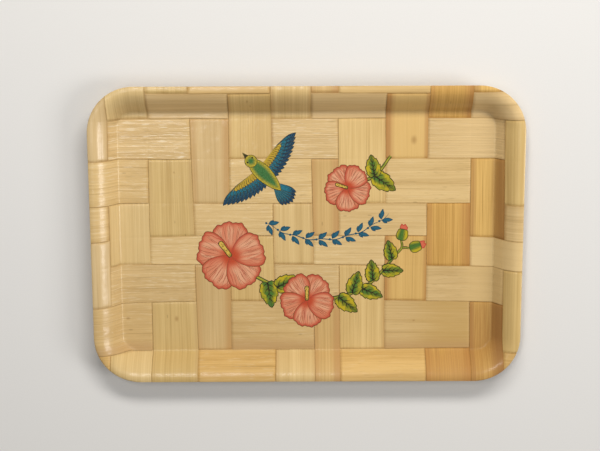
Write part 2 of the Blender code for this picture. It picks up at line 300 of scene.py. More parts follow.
def block_indices(rows, cols):
    """Quads of a closed slab whose top grid comes first and whose bottom grid follows it."""
    top = np.arange(rows * cols).reshape(rows, cols)
    low = top + rows * cols

    def quads(a, b, c, d):
        return np.stack([a.ravel(), b.ravel(), c.ravel(), d.ravel()], 1)

    return np.concatenate(
        [
            quads(top[:-1, :-1], top[:-1, 1:], top[1:, 1:], top[1:, :-1]),
            quads(low[:-1, :-1], low[1:, :-1], low[1:, 1:], low[:-1, 1:]),
            quads(top[:-1, 0], top[1:, 0], low[1:, 0], low[:-1, 0]),
            quads(top[:-1, -1], low[:-1, -1], low[1:, -1], top[1:, -1]),
            quads(top[0, :-1], low[0, :-1], low[0, 1:], top[0, 1:]),
            quads(top[-1, :-1], top[-1, 1:], low[-1, 1:], low[-1, :-1]),
        ]
    )


def strip_mesh(name, axis, index, side, fine):
    """One strip, running along axis, over and under the strips it crosses."""
    other = 1 - axis
    edges = EDGES[other]
    first, last = index == 0, index == len(edges) - 2
    low = edges[index] + (0 if first else SLIT / 2)
    high = edges[index + 1] - (0 if last else SLIT / 2)
    s = along_lines(axis, index, fine)
    t = across_lines(axis, low, high, fine)
    share = (t - low) / (high - low)
    edge_low = edge_at(other, index, s) + (0 if first else SLIT / 2)
    edge_high = edge_at(other, index + 1, s) - (0 if last else SLIT / 2)
    across = edge_low[:, None] + share[None, :] * (edge_high - edge_low)[:, None]
    bends = np.stack([edge_at(axis, k, t) for k in range(len(EDGES[axis]))])
    along = np.stack([np.interp(s, EDGES[axis], bends[:, j]) for j in range(len(t))], 1)
    limit = rim_at(axis, across)
    along = np.clip(along, -limit, limit)
    x, y = (along, across) if axis == 0 else (across, along)

    level, ghost, seam = weave_profile(axis, index, s)
    inset = inset_at(x, y)
    reach = np.clip(RIM_ROUND - inset, 0, RIM_ROUND)
    rim_drop = RIM_ROUND - np.sqrt(RIM_ROUND**2 - reach**2)
    from_low = np.full_like(t, 1.0) if first else t - low
    from_high = np.full_like(t, 1.0) if last else high - t
    near = np.clip(EDGE_ROUND - np.minimum(from_low, from_high), 0, EDGE_ROUND)
    edge_drop = EDGE_ROUND - np.sqrt(EDGE_ROUND**2 - near**2)
    middle = (MAT_OFFSET + WEAVE_STEP * level - 0.05 * MM * ghost)[:, None] * side
    outer = STRIP / 2 - np.maximum(edge_drop[None, :], rim_drop)
    top = form_points(x, y, middle + side * outer)
    bottom = form_points(x, y, middle - side * STRIP / 2 + 0 * x)
    points = np.concatenate([top.reshape(-1, 3), bottom.reshape(-1, 3)])
    edge_mm = np.minimum(from_low, from_high)[None, :] / MM + 0 * x
    width = np.full_like(x, high - low)
    grain = np.stack([share[None, :] * width, s[:, None] + 0 * x, width], -1).reshape(-1, 3)
    seams = np.minimum(seam[:, None] + 0 * x, edge_mm).ravel()
    fields = {"grain": np.concatenate([grain, grain]), "seam": np.concatenate([seams, seams])}
    return tidy_mesh(quad_mesh(name, points, block_indices(len(s), len(t)), fields))


def core_mesh():
    x0 = np.array(form_lines(LENGTH / 2, 12 * MM))
    y0 = np.array(form_lines(WIDTH / 2, 12 * MM))
    x = x0[:, None] + 0 * y0[None, :]
    y = np.clip(y0[None, :] + 0 * x, -rim_at(1, x), rim_at(1, x))
    top = form_points(x, y, np.full_like(x, CORE / 2))
    bottom = form_points(x, y, np.full_like(x, -CORE / 2))
    points = np.concatenate([top.reshape(-1, 3), bottom.reshape(-1, 3)])
    grain = np.stack([y, x, np.full_like(x, WIDTH)], -1).reshape(-1, 3)
    seam = np.full(2 * x.size, 20.0)
    fields = {"grain": np.concatenate([grain, grain]), "seam": seam}
    return tidy_mesh(quad_mesh("core", points, block_indices(*x.shape), fields))


# ---------------------------------------------------------------- node graphs
class Graph:
    """Shader nodes written as expressions."""

    def __init__(self, name):
        self.material = bpy.data.materials.new(name)
        self.material.use_nodes = True
        self.tree = self.material.node_tree
        self.shader = self.tree.nodes["Principled BSDF"]

    def put(self, socket, value):
        if isinstance(value, bpy.types.NodeSocket):
            self.tree.links.new(value, socket)
        elif isinstance(value, tuple) and len(value) == 3 and socket.type == "RGBA":
            socket.default_value = (*value, 1)
        else:
            socket.default_value = value

    def math(self, operation, a, b=0.0, c=0.0, clamp=False):
        node = self.tree.nodes.new("ShaderNodeMath")
        node.operation, node.use_clamp = operation, clamp
        for socket, value in zip(node.inputs, (a, b, c)):
            self.put(socket, value)
        return node.outputs[0]

    def add(self, a, b):
        return self.math("ADD", a, b)

    def mul(self, a, b):
        return self.math("MULTIPLY", a, b)

    def swing(self, value, weight):
        """A value between 0 and 1, taken about its middle and weighted."""
        return self.mul(self.add(value, -0.5), weight)

    def size(self, value):
        return self.math("ABSOLUTE", value)

    def attribute(self, name):
        node = self.tree.nodes.new("ShaderNodeAttribute")
        node.attribute_name = name
        return node

    def parts(self, vector):
        node = self.tree.nodes.new("ShaderNodeSeparateXYZ")
        self.put(node.inputs[0], vector)
        return node.outputs

    def join(self, x, y, z=0.0):
        node = self.tree.nodes.new("ShaderNodeCombineXYZ")
        for socket, value in zip(node.inputs, (x, y, z)):
            self.put(socket, value)
        return node.outputs[0]

    def noise(self, vector, detail=2.0, roughness=0.5, scale=1.0):
        node = self.tree.nodes.new("ShaderNodeTexNoise")
        self.put(node.inputs["Vector"], vector)
        node.inputs["Scale"].default_value = scale
        node.inputs["Detail"].default_value = detail
        node.inputs["Roughness"].default_value = roughness
        return node.outputs[0]

    def cells(self, vector, scale, feature="F1"):
        node = self.tree.nodes.new("ShaderNodeTexVoronoi")
        node.feature = feature
        self.put(node.inputs["Vector"], vector)
        node.inputs["Scale"].default_value = scale
        return node.outputs[0]

    def remap(self, value, a, b, low=0.0, high=1.0):
        node = self.tree.nodes.new("ShaderNodeMapRange")
        node.interpolation_type = "SMOOTHSTEP"
        for socket, v in zip(node.inputs, (value, a, b, low, high)):
            self.put(socket, v)
        return node.outputs[0]

    def mix(self, share, a, b):
        node = self.tree.nodes.new("ShaderNodeMix")
        node.data_type = "RGBA"
        self.put(node.inputs[0], share)
        self.put(node.inputs[6], a)
        self.put(node.inputs[7], b)
        return node.outputs[2]

    def bump(self, height, distance, strength):
        node = self.tree.nodes.new("ShaderNodeBump")
        self.put(node.inputs["Height"], height)
        node.inputs["Distance"].default_value = distance
        self.put(node.inputs["Strength"], strength)
        return node.outputs[0]

    def finish(self, **values):
        for key, value in values.items():
            self.put(self.shader.inputs[key.replace("_", " ")], value)
        return self.material


# ---------------------------------------------------------------- bamboo
class Bamboo:
    """How one strip looks: its tone, its two browned edges, its streaks and its knots, its painted glints,
    whose strength is pale, and a ramp of tone along it that on some strips is painted light.
    """

    def __init__(
        self, tone, left=(0, 0), right=(0, 0), brown=(0.42, 0.22, 0.07), streak=1.0, relief=1.0,
        knots=(), dash=0.0, pale=0.2, fade=None,
    ):
        self.tone, self.left, self.right, self.brown = tone, left, right, brown
        self.streak, self.relief, self.knots = streak, relief, knots
        self.dash, self.pale, self.fade = dash, pale, fade


def shade(colour, by):
    return tuple(c * by for c in colour)


# The second colour is a painted highlight: pale glints that stand in for the lamps caught on the lacquer's
# ridges.
KNOT_BROWN, PAINTED_GLINT = (0.29, 0.145, 0.036), (0.86, 0.74, 0.52)


def bamboo_material(name, look, seed, lacquer=0.42):
    """Split bamboo under lacquer: fibres, vessel lines, broad bands, browned edges and small knots, with
    painted glints and painted shade at the seams.
    """
    g = Graph(name)
    across, along, width = g.parts(g.attribute("grain").outputs["Vector"])
    seam = g.attribute("seam").outputs["Fac"]
    drift = g.noise(g.join(g.mul(along, 9), seed, 0.0), 1.0)
    bent = g.add(across, g.swing(drift, 0.0016))
    fibre = g.noise(g.join(g.mul(bent, 1500), g.mul(along, 16), seed), 3.0, 0.62)
    vessel = g.noise(g.join(g.mul(bent, 620), g.mul(along, 7), seed + 9.1), 2.0, 0.6)
    band = g.noise(g.join(g.mul(bent, 150), g.mul(along, 3.0), seed + 17.3), 2.0, 0.5)
    cloud = g.noise(g.join(g.mul(across, 26), g.mul(along, 11), seed + 31.7), 2.0, 0.5)
    light = shade(look.tone, 1.10)
    dark = (look.tone[0] * 0.84, look.tone[1] * 0.78, look.tone[2] * 0.66)
    amount = g.add(g.swing(fibre, 1.25 * look.streak), g.swing(vessel, 1.1 * look.streak))
    amount = g.add(amount, g.swing(band, 1.2))
    amount = g.add(amount, g.swing(cloud, 0.8))
    colour = g.mix(g.math("ADD", amount, 0.42, clamp=True), light, dark)
    lines = g.remap(vessel, 0.62, 0.74)
    colour = g.mix(g.mul(lines, 0.24 * look.streak), colour, shade(dark, 0.62))
    if look.dash:
        dashes = g.noise(g.join(g.mul(bent, 900), g.mul(along, 60), seed + 41), 2.0, 0.6)
        colour = g.mix(g.mul(g.remap(dashes, 0.58, 0.74), 0.42 * look.dash), colour, shade(dark, 0.60))
        # Painted highlights: pale glints among the dashes, at full strength pale towards -X and a quarter of
        # it towards +X.
        painted_glints = g.mul(g.remap(dashes, 0.44, 0.32), g.remap(along, -0.10, 0.15, look.pale, look.pale * 0.25))
        colour = g.mix(painted_glints, colour, PAINTED_GLINT)
    # A ramp along the strip towards another tone. On some strips it is the bamboo's own change of colour; the
    # lighter ramps at the +X end of long strips are painted light that makes up for the shadow the right wall
    # casts from the side lamp.
    if look.fade:
        start, end, tone, strength = look.fade
        share = g.remap(g.add(along, g.swing(band, 0.03)), start * MM, end * MM, 0.0, strength)
        colour = g.mix(g.mul(share, g.remap(fibre, 0.3, 0.7, 0.6, 1.2)), colour, tone)
    for reach, (size, strength) in (("left", look.left), ("right", look.right)):
        if strength > 0:
            distance = across if reach == "left" else g.math("SUBTRACT", width, across)
            ragged = g.add(distance, g.swing(band, size * MM * 0.9))
            share = g.remap(ragged, size * MM * 0.25, size * MM, strength, 0.0)
            colour = g.mix(g.mul(share, g.add(0.72, g.mul(vessel, 0.56))), colour, look.brown)
    for knot_across, knot_along, radius in look.knots:
        dx = g.math("SUBTRACT", across, knot_across * MM)
        dy = g.mul(g.math("SUBTRACT", along, knot_along * MM), 0.7)
        distance = g.math("SQRT", g.add(g.mul(dx, dx), g.mul(dy, dy)))
        distance = g.add(distance, g.swing(fibre, 0.0012))
        share = g.remap(distance, radius * 0.1 * MM, radius * MM, 0.50, 0.0)
        colour = g.mix(share, colour, KNOT_BROWN)
    specks = g.cells(g.join(g.mul(across, 60), g.mul(along, 21), seed + 3.0), 1.0)
    colour = g.mix(g.remap(specks, 0.03, 0.06, 0.35, 0.0), colour, shade(dark, 0.45))
    # Painted shade towards each seam and slit: a brown tint in uneven patches, and a narrow darker band right
    # at it, which tones down the light on the slopes where a strip dives under the next.
    seam_shade = g.noise(g.join(g.mul(across, 40), g.mul(along, 40), seed + 5), 1.0)
    seam_shade = g.remap(seam_shade, 0.30, 0.70, 0.02, 0.42)
    colour = g.mix(g.mul(g.remap(seam, 0.0, 1.4, 1.0, 0.0), seam_shade), colour, shade(look.brown, 0.85))
    colour = g.mix(g.remap(seam, 0.0, 0.6, 0.28, 0.0), colour, shade(look.brown, 0.6))
    height = g.add(g.mul(fibre, 0.5), g.mul(vessel, 0.8))
    normal = g.bump(height, 0.00022 * look.relief, 0.55)
    ripple = g.noise(g.join(g.mul(bent, 330), g.mul(along, 14), seed + 77), 1.0)
    swell = g.noise(g.join(g.mul(across, 75), g.mul(along, 50), seed + 51), 2.0, 0.5)
    swollen = g.add(ripple, g.mul(swell, 10.0 / look.relief))
    ridges = g.add(g.mul(vessel, 0.25), g.add(g.mul(band, 0.5), swollen))
    coat_normal = g.bump(ridges, 0.00016 * look.relief, 0.8)
    return g.finish(
        Base_Color=colour,
        Roughness=g.add(0.36, g.swing(vessel, 0.22)),
        Normal=normal,
        Coat_Weight=g.remap(seam, 0.2, 2.2, 0.15 * lacquer, lacquer),
        Coat_Roughness=0.20,
        Coat_Normal=coat_normal,
        Specular_IOR_Level=g.remap(seam, 0.1, 1.4, 0.05, 0.4),
    )


# ---------------------------------------------------------------- how each strip looks
CROSS_LOOKS = [
    Bamboo((0.600, 0.440, 0.225)),
    Bamboo((0.641, 0.469, 0.220)),
    Bamboo((0.598, 0.427, 0.178), left=(6, 0.3), right=(5, 0.4), brown=(0.47, 0.30, 0.12), streak=1.2,
           knots=((26, 62, 1.2), (24, -88, 3.0), (31, -58, 1.4))),
    Bamboo((0.585, 0.416, 0.195), left=(8, 0.45), right=(9, 0.75), brown=(0.49, 0.28, 0.10)),
    Bamboo((0.616, 0.434, 0.180), left=(4, 0.4), knots=((20, 136, 1.6), (23, 131, 1.2))),
    Bamboo((0.634, 0.455, 0.205), left=(4, 0.3), right=(4, 0.25)),
    Bamboo((0.595, 0.401, 0.166), left=(7, 0.5), right=(10, 0.75), brown=(0.49, 0.27, 0.10)),
    Bamboo((0.650, 0.462, 0.198), right=(4, 0.3), streak=1.3),
    Bamboo((0.625, 0.403, 0.137), left=(9, 0.85), right=(5, 0.6), brown=(0.42, 0.20, 0.06),
           knots=((28, 94, 4.5),), fade=(50, 78, (0.69, 0.46, 0.172), 0.85)),
    Bamboo((0.585, 0.345, 0.097), left=(8, 0.5), right=(11, 0.7), brown=(0.44, 0.21, 0.06), streak=2.3,
           fade=(-112, -128, (0.46, 0.235, 0.080), 0.55)),
    Bamboo((0.672, 0.428, 0.136), left=(8, 0.6), right=(13, 0.85), brown=(0.37, 0.18, 0.055), streak=2.2,
           fade=(-40, -85, (0.42, 0.210, 0.055), 0.75)),
    Bamboo((0.607, 0.427, 0.170)),
]
LONG_LOOKS = [  # from the -Y side
    Bamboo((0.626, 0.409, 0.153), streak=1.2, dash=0.6),
    Bamboo((0.575, 0.400, 0.177), left=(14, 0.6), brown=(0.46, 0.28, 0.12), dash=0.5,
           knots=((35, -182, 2.0), (30, 109, 1.5)), fade=(95, 140, (0.505, 0.315, 0.095), 0.6)),
    # Painted light: the lighter ramps at the +X end of this strip and the next make up for the shadow that
    # the right wall casts from the side lamp.
    Bamboo((0.600, 0.425, 0.198), streak=1.25, relief=2.2, dash=0.9, pale=0.3,
           fade=(145, 175, (0.66, 0.460, 0.200), 0.8)),
    Bamboo((0.660, 0.480, 0.232), relief=1.6, dash=0.6, pale=0.3, fade=(150, 180, (0.72, 0.515, 0.236), 0.8)),
    Bamboo((0.637, 0.455, 0.213), relief=1.6, dash=0.6),
    Bamboo((0.650, 0.466, 0.216), relief=2.2, dash=1.0, pale=0.3),
    # Painted light: the lighter ramp at the +X end of this strip makes up for the same shadow of the right
    # wall.
    Bamboo((0.631, 0.453, 0.218), streak=1.25, relief=4.5, dash=1.0, pale=0.62,
           fade=(110, 175, (0.70, 0.500, 0.238), 0.8)),
    Bamboo((0.690, 0.500, 0.250), left=(5, 0.3), right=(4, 0.3), brown=(0.48, 0.31, 0.13), streak=0.8),
    Bamboo((0.607, 0.418, 0.179)),
]
BACK_TONES = [(0.60, 0.41, 0.18), (0.58, 0.43, 0.19), (0.62, 0.40, 0.15), (0.56, 0.38, 0.17)]


def place(name, mesh, material, node):
    obj = bpy.data.objects.new(name, mesh)
    bpy.context.scene.collection.objects.link(obj)
    obj.data.materials.append(material)
    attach(obj, "root")
    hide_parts(node)
    return obj


def build_mats():
    sets = ((1, CROSS_NAMES, CROSS_LOOKS), (0, LONG_NAMES, LONG_LOOKS))
    for axis, names, looks in sets:
        for index, (short, look) in enumerate(zip(names, looks)):
            node = f"face_{short}"
            mesh = strip_mesh(node + "_skin", axis, index, 1, True)
            material = bamboo_material(node + "_bamboo", look, 3.7 * index + 11 * axis)
            place(node + "_skin", mesh, material, node)
            node = f"back_{short}"
            tone = BACK_TONES[(index * 3 + axis) % len(BACK_TONES)]
            mesh = strip_mesh(node + "_skin", axis, index, -1, False)
            look = Bamboo(tone, left=(5, 0.3), right=(4, 0.4), streak=1.2)
            material = bamboo_material(node + "_bamboo", look, 5.3 * index + 7 * axis + 60, 0.3)
            place(node + "_skin", mesh, material, node)
    core = bamboo_material("core_bamboo", Bamboo((0.50, 0.35, 0.16)), 91.0, 0.0)
    place("core_sheet_skin", core_mesh(), core, "core_sheet")


build_mats()


# ---------------------------------------------------------------- printed artwork: outlines, in millimetres
PRINT_LIFT = 0.03  # height of the lowest printed shape above the face
LEVEL = 0.018      # height from one overlapping shape to the next
FILM = 0.012       # thickness of a printed shape


def curve(points, closed=False, per=6):
    """A smooth curve through the points."""
    p = np.array(points, float)
    spans = len(p) if closed else len(p) - 1
    ends = (p[-1:], p[:2]) if closed else (2 * p[:1] - p[1:2], 2 * p[-1:] - p[-2:-1])
    p = np.concatenate([ends[0], p, ends[1]])
    t = np.linspace(0, 1, per, endpoint=False)[:, None]
    out = []
    for k in range(spans):
        a, b, c, d = p[k : k + 4]
        square = (2 * a - 5 * b + 4 * c - d) * t**2
        cube = (3 * b - a - 3 * c + d) * t**3
        out.append(0.5 * (2 * b + (c - a) * t + square + cube))
    if not closed:
        out.append(p[-2:-1])
    return np.concatenate(out)


class Axis:
    """Local coordinates of a shape that grows from base towards tip: u along it, v across it."""

    def __init__(self, base, tip, width):
        self.base = np.array(base, float)
        reach = np.array(tip, float) - self.base
        self.length = float(np.hypot(*reach))
        self.along = reach / self.length
        self.side = np.array([-self.along[1], self.along[0]])
        self.width = width

    def out(self, uv):
        uv = np.asarray(uv, float)
        return self.base + uv[:, :1] * self.length * self.along + uv[:, 1:] * self.width * self.side

    def back(self, points):
        p = np.asarray(points) - self.base
        return np.stack([p @ self.along / self.length, p @ self.side / self.width], 1)


def inside(points, loop):
    x, y = points[:, :1], points[:, 1:]
    a, b = loop, np.roll(loop, -1, 0)
    rise = np.where(b[:, 1] == a[:, 1], 1e-12, b[:, 1] - a[:, 1])
    at = a[:, 0] + (y - a[:, 1]) / rise * (b[:, 0] - a[:, 0])
    return (((a[:, 1] > y) != (b[:, 1] > y)) & (x < at)).sum(1) % 2 == 1


def outline_distance(points, loop):
    a, b = loop, np.roll(loop, -1, 0)
    step = b - a
    size = np.maximum((step**2).sum(1), 1e-12)
    rel = points[:, None, :] - a
    t = np.clip((rel * step).sum(2) / size, 0, 1)
    return np.sqrt(((rel - t[..., None] * step) ** 2).sum(2)).min(1)


class Sheet:
    """Printed shapes of one paint, gathered into one mesh that lies on the face."""

    def __init__(self):
        self.points, self.faces, self.marks, self.tints = [], [], [], []

    def add(self, points, faces, marks, tint):
        start = sum(len(p) for p in self.points)
        self.points.append(np.asarray(points, float))
        self.marks.append(np.asarray(marks, float))
        self.tints.append(np.full(len(points), float(tint)))
        self.faces += [tuple(start + k for k in face) for face in faces]

    def fill(self, loop, level, uv, tint=0.0, pitch=1.1):
        """The area inside a closed outline, with uv(points) and the distance from the edge as its marks."""
        low, high = loop.min(0), loop.max(0)
        gx, gy = np.meshgrid(np.arange(low[0], high[0], pitch), np.arange(low[1], high[1], pitch * 0.87))
        gx = gx + (np.arange(gx.shape[0]) % 2)[:, None] * pitch / 2
        grid = np.stack([gx.ravel(), gy.ravel()], 1)
        grid = grid[inside(grid, loop)]
        if len(grid):
            grid = grid[outline_distance(grid, loop) > pitch * 0.5]
        every = [Vector(p) for p in np.concatenate([loop, grid])]
        found = delaunay_2d_cdt(every, [], [list(range(len(loop)))], 1, 1e-6)
        flat = np.array([v[:] for v in found[0]])
        tris = [tuple(face) for face in found[2]]
        marks = np.column_stack([uv(flat), outline_distance(flat, loop)])
        top = PRINT_LIFT + LEVEL * level
        n = len(flat)
        points = np.concatenate([np.column_stack([flat, np.full(n, z)]) for z in (top, top - FILM)])
        edges = {(t[k], t[(k + 1) % 3]) for t in tris for k in range(3)}
        rim = [(a, b) for a, b in sorted(edges) if (b, a) not in edges]
        under = [tuple(k + n for k in reversed(t)) for t in tris]
        walls = [(b, a, a + n, b + n) for a, b in rim]
        self.add(points, tris + under + walls, np.concatenate([marks, marks]), tint)

    def ribbon(self, path, widths, level, tint=0.0, closed=False):
        """A line whose width runs through the given widths from its start to its end."""
        path = np.asarray(path, float)
        n = len(path)
        share = np.arange(n) / (n if closed else n - 1)
        half = np.interp(share, np.linspace(0, 1, len(widths)), widths)[:, None] / 2
        if closed:
            run = np.roll(path, -1, 0) - np.roll(path, 1, 0)
        else:
            run = np.gradient(path, axis=0)
        run /= np.maximum(np.linalg.norm(run, axis=1, keepdims=True), 1e-9)
        side = np.stack([-run[:, 1], run[:, 0]], 1) * half
        top = PRINT_LIFT + LEVEL * level
        mid = np.full(n, top - FILM / 2)
        rings = [
            np.column_stack([path + side, mid]),
            np.column_stack([path, mid + FILM / 2]),
            np.column_stack([path - side, mid]),
            np.column_stack([path, mid - FILM / 2]),
        ]
        marks = [np.column_stack([share, np.full(n, v), half[:, 0]]) for v in (1.0, 0.0, -1.0, 0.0)]
        faces = []
        for k in range(n if closed else n - 1):
            after = (k + 1) % n
            for a in range(4):
                b = (a + 1) % 4
                faces.append((a * n + k, b * n + k, b * n + after, a * n + after))
        if not closed:
            faces += [tuple(a * n for a in (3, 2, 1, 0)), tuple(a * n + n - 1 for a in (0, 1, 2, 3))]
        self.add(np.concatenate(rings), faces, np.concatenate(marks), tint)

    def mesh(self, name):
        points = np.concatenate(self.points) * MM + np.array([0, 0, FACE_TOP])
        mesh = bpy.data.meshes.new(name)
        mesh.from_pydata([tuple(p) for p in points], [], self.faces)
        for key, values in (("mark", np.concatenate(self.marks)), ("place", np.concatenate(self.points))):
            layer = mesh.attributes.new(key, "FLOAT_VECTOR", "POINT")
            layer.data.foreach_set("vector", np.ascontiguousarray(values, np.float32).ravel())
        layer = mesh.attributes.new("tint", "FLOAT", "POINT")
        layer.data.foreach_set("value", np.concatenate(self.tints).astype(np.float32))
        bm = bmesh.new()
        bm.from_mesh(mesh)
        bmesh.ops.recalc_face_normals(bm, faces=bm.faces)
        bm.to_mesh(mesh)
        bm.free()
        mesh.shade_smooth()
        mesh.set_sharp_from_angle(angle=math.radians(30))
        return mesh


# ---------------------------------------------------------------- printed artwork: paints
RED_THROAT, CORAL = (0.46, 0.060, 0.022), (0.57, 0.140, 0.068)
SALMON, CORAL_EDGE = (0.685, 0.340, 0.200), (0.41, 0.050, 0.028)
LEAF_DARK, LEAF_GREEN, LEAF_YELLOW = (0.020, 0.060, 0.012), (0.060, 0.155, 0.026), (0.47, 0.36, 0.016)
LEAF_OLIVE = (0.165, 0.215, 0.020)
STEM_OLIVE, STEM_DARK = (0.36, 0.33, 0.035), (0.030, 0.042, 0.010)
POLLEN, POLLEN_BROWN = (0.62, 0.42, 0.075), (0.10, 0.050, 0.012)
INK, RED_INK, BLUE_INK = (0.010, 0.009, 0.007), (0.17, 0.022, 0.014), (0.004, 0.010, 0.020)
TEAL, TEAL_DEEP = (0.012, 0.105, 0.170), (0.006, 0.060, 0.105)
FEATHER_TEAL, FEATHER_BLUE = (0.008, 0.130, 0.190), (0.003, 0.030, 0.078)
FEATHER_GOLD, FEATHER_OLIVE = (0.50, 0.33, 0.030), (0.15, 0.17, 0.016)
BODY_GREEN, BODY_YELLOW = (0.045, 0.170, 0.050), (0.50, 0.38, 0.030)


def ink_finish(g, colour):
    """Printing ink lets a little of the wood's unevenness through and is lacquered like the wood."""
    place = g.attribute("place").outputs["Vector"]
    uneven = g.noise(place, 3.0, 0.6, 0.9)
    colour = g.mix(g.remap(uneven, 0.4, 0.7, 0.0, 0.06), colour, (0.60, 0.42, 0.20))
    return g.finish(
        Base_Color=colour, Roughness=0.4, Coat_Weight=0.18, Coat_Roughness=0.2, Specular_IOR_Level=0.12
    )


def painted(name):
    g = Graph(name)
    u, v, edge = g.parts(g.attribute("mark").outputs["Vector"])
    return g, u, v, edge, g.attribute("tint").outputs["Fac"]


def petal_paint(name):
    g, u, v, edge, tint = painted(name)
    bend = g.add(v, g.mul(g.add(g.noise(g.join(u, tint), 1.0, 0.5, 3), -0.5), 0.25))
    broad = g.noise(g.join(g.mul(bend, 3.2), g.mul(u, 0.7), tint), 1.0)
    fan = g.noise(g.join(g.mul(bend, 21), g.mul(u, 1.3), tint), 2.0, 0.6)
    colour = g.mix(g.remap(u, 0.10, 0.42), RED_THROAT, CORAL)
    light = g.mul(g.remap(u, 0.20, 0.50), g.remap(u, 0.82, 1.0, 1.0, 0.25))
    light = g.mul(light, g.remap(g.size(v), 0.45, 1.0, 1.0, 0.2))
    light = g.mul(light, g.remap(g.add(broad, g.swing(fan, 0.7)), 0.34, 0.56, 0.35, 1.0))
    colour = g.mix(light, colour, SALMON)
    veins = g.mul(g.remap(fan, 0.54, 0.64), g.remap(u, 0.18, 0.5, 0.3, 0.75))
    colour = g.mix(veins, colour, CORAL_EDGE)
    colour = g.mix(g.remap(edge, 0.1, 3.2, 0.8, 0.0), colour, CORAL_EDGE)
    return ink_finish(g, colour)


def leaf_paint(name):
    g, u, v, _, tint = painted(name)
    patch = g.noise(g.join(g.mul(u, 3.0), g.mul(v, 2.4), tint), 2.0, 0.5)
    barbs = g.noise(g.join(g.mul(g.add(u, g.mul(g.size(v), -0.35)), 13), v, tint), 2.0, 0.6)
    outward = g.add(g.size(v), g.add(g.swing(patch, 1.1), g.mul(u, 0.16)))
    share = g.add(g.remap(outward, 0.03, 0.38), g.swing(barbs, 0.5))
    share = g.math("ADD", share, 0.0, clamp=True)
    colour = g.mix(g.remap(share, 0.0, 0.45), LEAF_GREEN, LEAF_OLIVE)
    mottle = g.noise(g.join(g.mul(u, 5.0), g.mul(v, 4.0), g.add(tint, 3.0)), 1.0)
    yellow = g.mul(g.remap(share, 0.5, 1.0), g.remap(mottle, 0.38, 0.60, 0.35, 1.0))
    colour = g.mix(yellow, colour, LEAF_YELLOW)
    deep = g.mul(g.remap(g.size(v), 0.02, 0.30, 0.7, 0.0), g.remap(patch, 0.3, 0.7))
    colour = g.mix(g.add(deep, g.remap(barbs, 0.6, 0.75, 0.0, 0.35)), colour, LEAF_DARK)
    return ink_finish(g, colour)


def stem_paint(name):
    g, u, v, _, tint = painted(name)
    mottle = g.noise(g.join(g.mul(u, 6), v, tint), 1.0)
    colour = g.mix(g.remap(mottle, 0.40, 0.70, 0.05, 0.85), STEM_OLIVE, LEAF_GREEN)
    colour = g.mix(g.remap(g.size(v), 0.40, 0.80, 0.0, 0.92), colour, STEM_DARK)
    return ink_finish(g, colour)


def stamen_paint(name):
    g, u, _, edge, _ = painted(name)
    place = g.attribute("place").outputs["Vector"]
    dots = g.remap(g.cells(place, 0.80), 0.26, 0.46, 0.9, 0.0)
    colour = g.mix(dots, POLLEN, POLLEN_BROWN)
    colour = g.mix(g.remap(edge, 0.1, 0.9, 0.9, 0.0), colour, POLLEN_BROWN)
    colour = g.mix(g.remap(u, 0.0, 0.25, 0.5, 0.0), colour, POLLEN_BROWN)
    return ink_finish(g, colour)


def bud_paint(name):
    """Green calyx with a yellow flank for tint 0, red petal tip for tint 1."""
    g, u, v, edge, tint = painted(name)
    flank = g.add(g.size(g.add(v, -0.08)), g.mul(u, 0.18))
    calyx = g.mix(g.remap(flank, 0.16, 0.52), LEAF_GREEN, LEAF_YELLOW)
    calyx = g.mix(g.remap(edge, 0.1, 1.2, 0.7, 0.0), calyx, LEAF_DARK)
    tip = g.mix(g.remap(edge, 0.1, 1.4), CORAL_EDGE, (0.60, 0.125, 0.070))
    return ink_finish(g, g.mix(tint, calyx, tip))


def feather_paint(name):
    """Olive for tint -1, gold for -0.4, gold only at the root for 0, and blue all along for 1."""
    g, u, v, _, tint = painted(name)
    along = g.add(u, g.swing(tint, 0.9))
    small = g.mix(g.remap(tint, -0.9, -0.5), FEATHER_OLIVE, FEATHER_GOLD)
    colour = g.mix(g.remap(along, 0.10, 0.40), small, FEATHER_TEAL)
    colour = g.mix(g.remap(along, 0.62, 1.0), colour, FEATHER_BLUE)
    barbs = g.noise(g.join(g.mul(g.add(u, g.mul(g.size(v), -0.2)), 34), g.mul(v, 2), tint), 1.0)
    pale = g.mul(g.remap(barbs, 0.5, 0.65), g.remap(tint, 0.0, 0.4, 0.0, 0.40))
    colour = g.mix(pale, colour, (0.045, 0.28, 0.31))
    colour = g.mix(g.remap(g.size(v), 0.55, 1.0, 0.0, 0.75), colour, BLUE_INK)
    return ink_finish(g, colour)


def border_paint(name):
    g, _, _, edge, _ = painted(name)
    colour = g.mix(g.remap(edge, 0.1, 1.4), TEAL_DEEP, TEAL)
    return ink_finish(g, colour)


def line_paint(name, colour):
    g, u, _, _, _ = painted(name)
    return ink_finish(g, g.mix(g.remap(u, 0.0, 1.0, 0.0, 0.15), colour, STEM_OLIVE))


def body_paint(name):
    """Green along the back and yellow towards the outline, with small scales."""
    g, _, _, edge, _ = painted(name)
    place = g.attribute("place").outputs["Vector"]
    scales = g.cells(place, 0.6, "DISTANCE_TO_EDGE")
    colour = g.mix(g.remap(edge, 0.4, 5.0), BODY_YELLOW, BODY_GREEN)
    colour = g.mix(g.remap(scales, 0.03, 0.16, 0.45, 0.0), colour, LEAF_DARK)
    return ink_finish(g, colour)


# ---------------------------------------------------------------- printed artwork: shapes
PETALS = 5
PETAL_SIDE = [(0.0, 0.02), (0.16, 0.24), (0.42, 0.43), (0.72, 0.50), (0.92, 0.39), (1.0, 0.16)]
LEAF_SIDE = [(0.0, 0.03), (0.03, 0.25), (0.15, 0.44), (0.35, 0.50), (0.58, 0.41), (0.82, 0.19), (0.985, 0.02)]
SCALE_SIDE = [(0.0, 0.22), (0.35, 0.42), (0.72, 0.50), (0.92, 0.36), (0.99, 0.12)]
PLUME_SIDE = [(0.0, 0.22), (0.35, 0.44), (0.68, 0.50), (0.88, 0.30), (0.995, 0.03)]


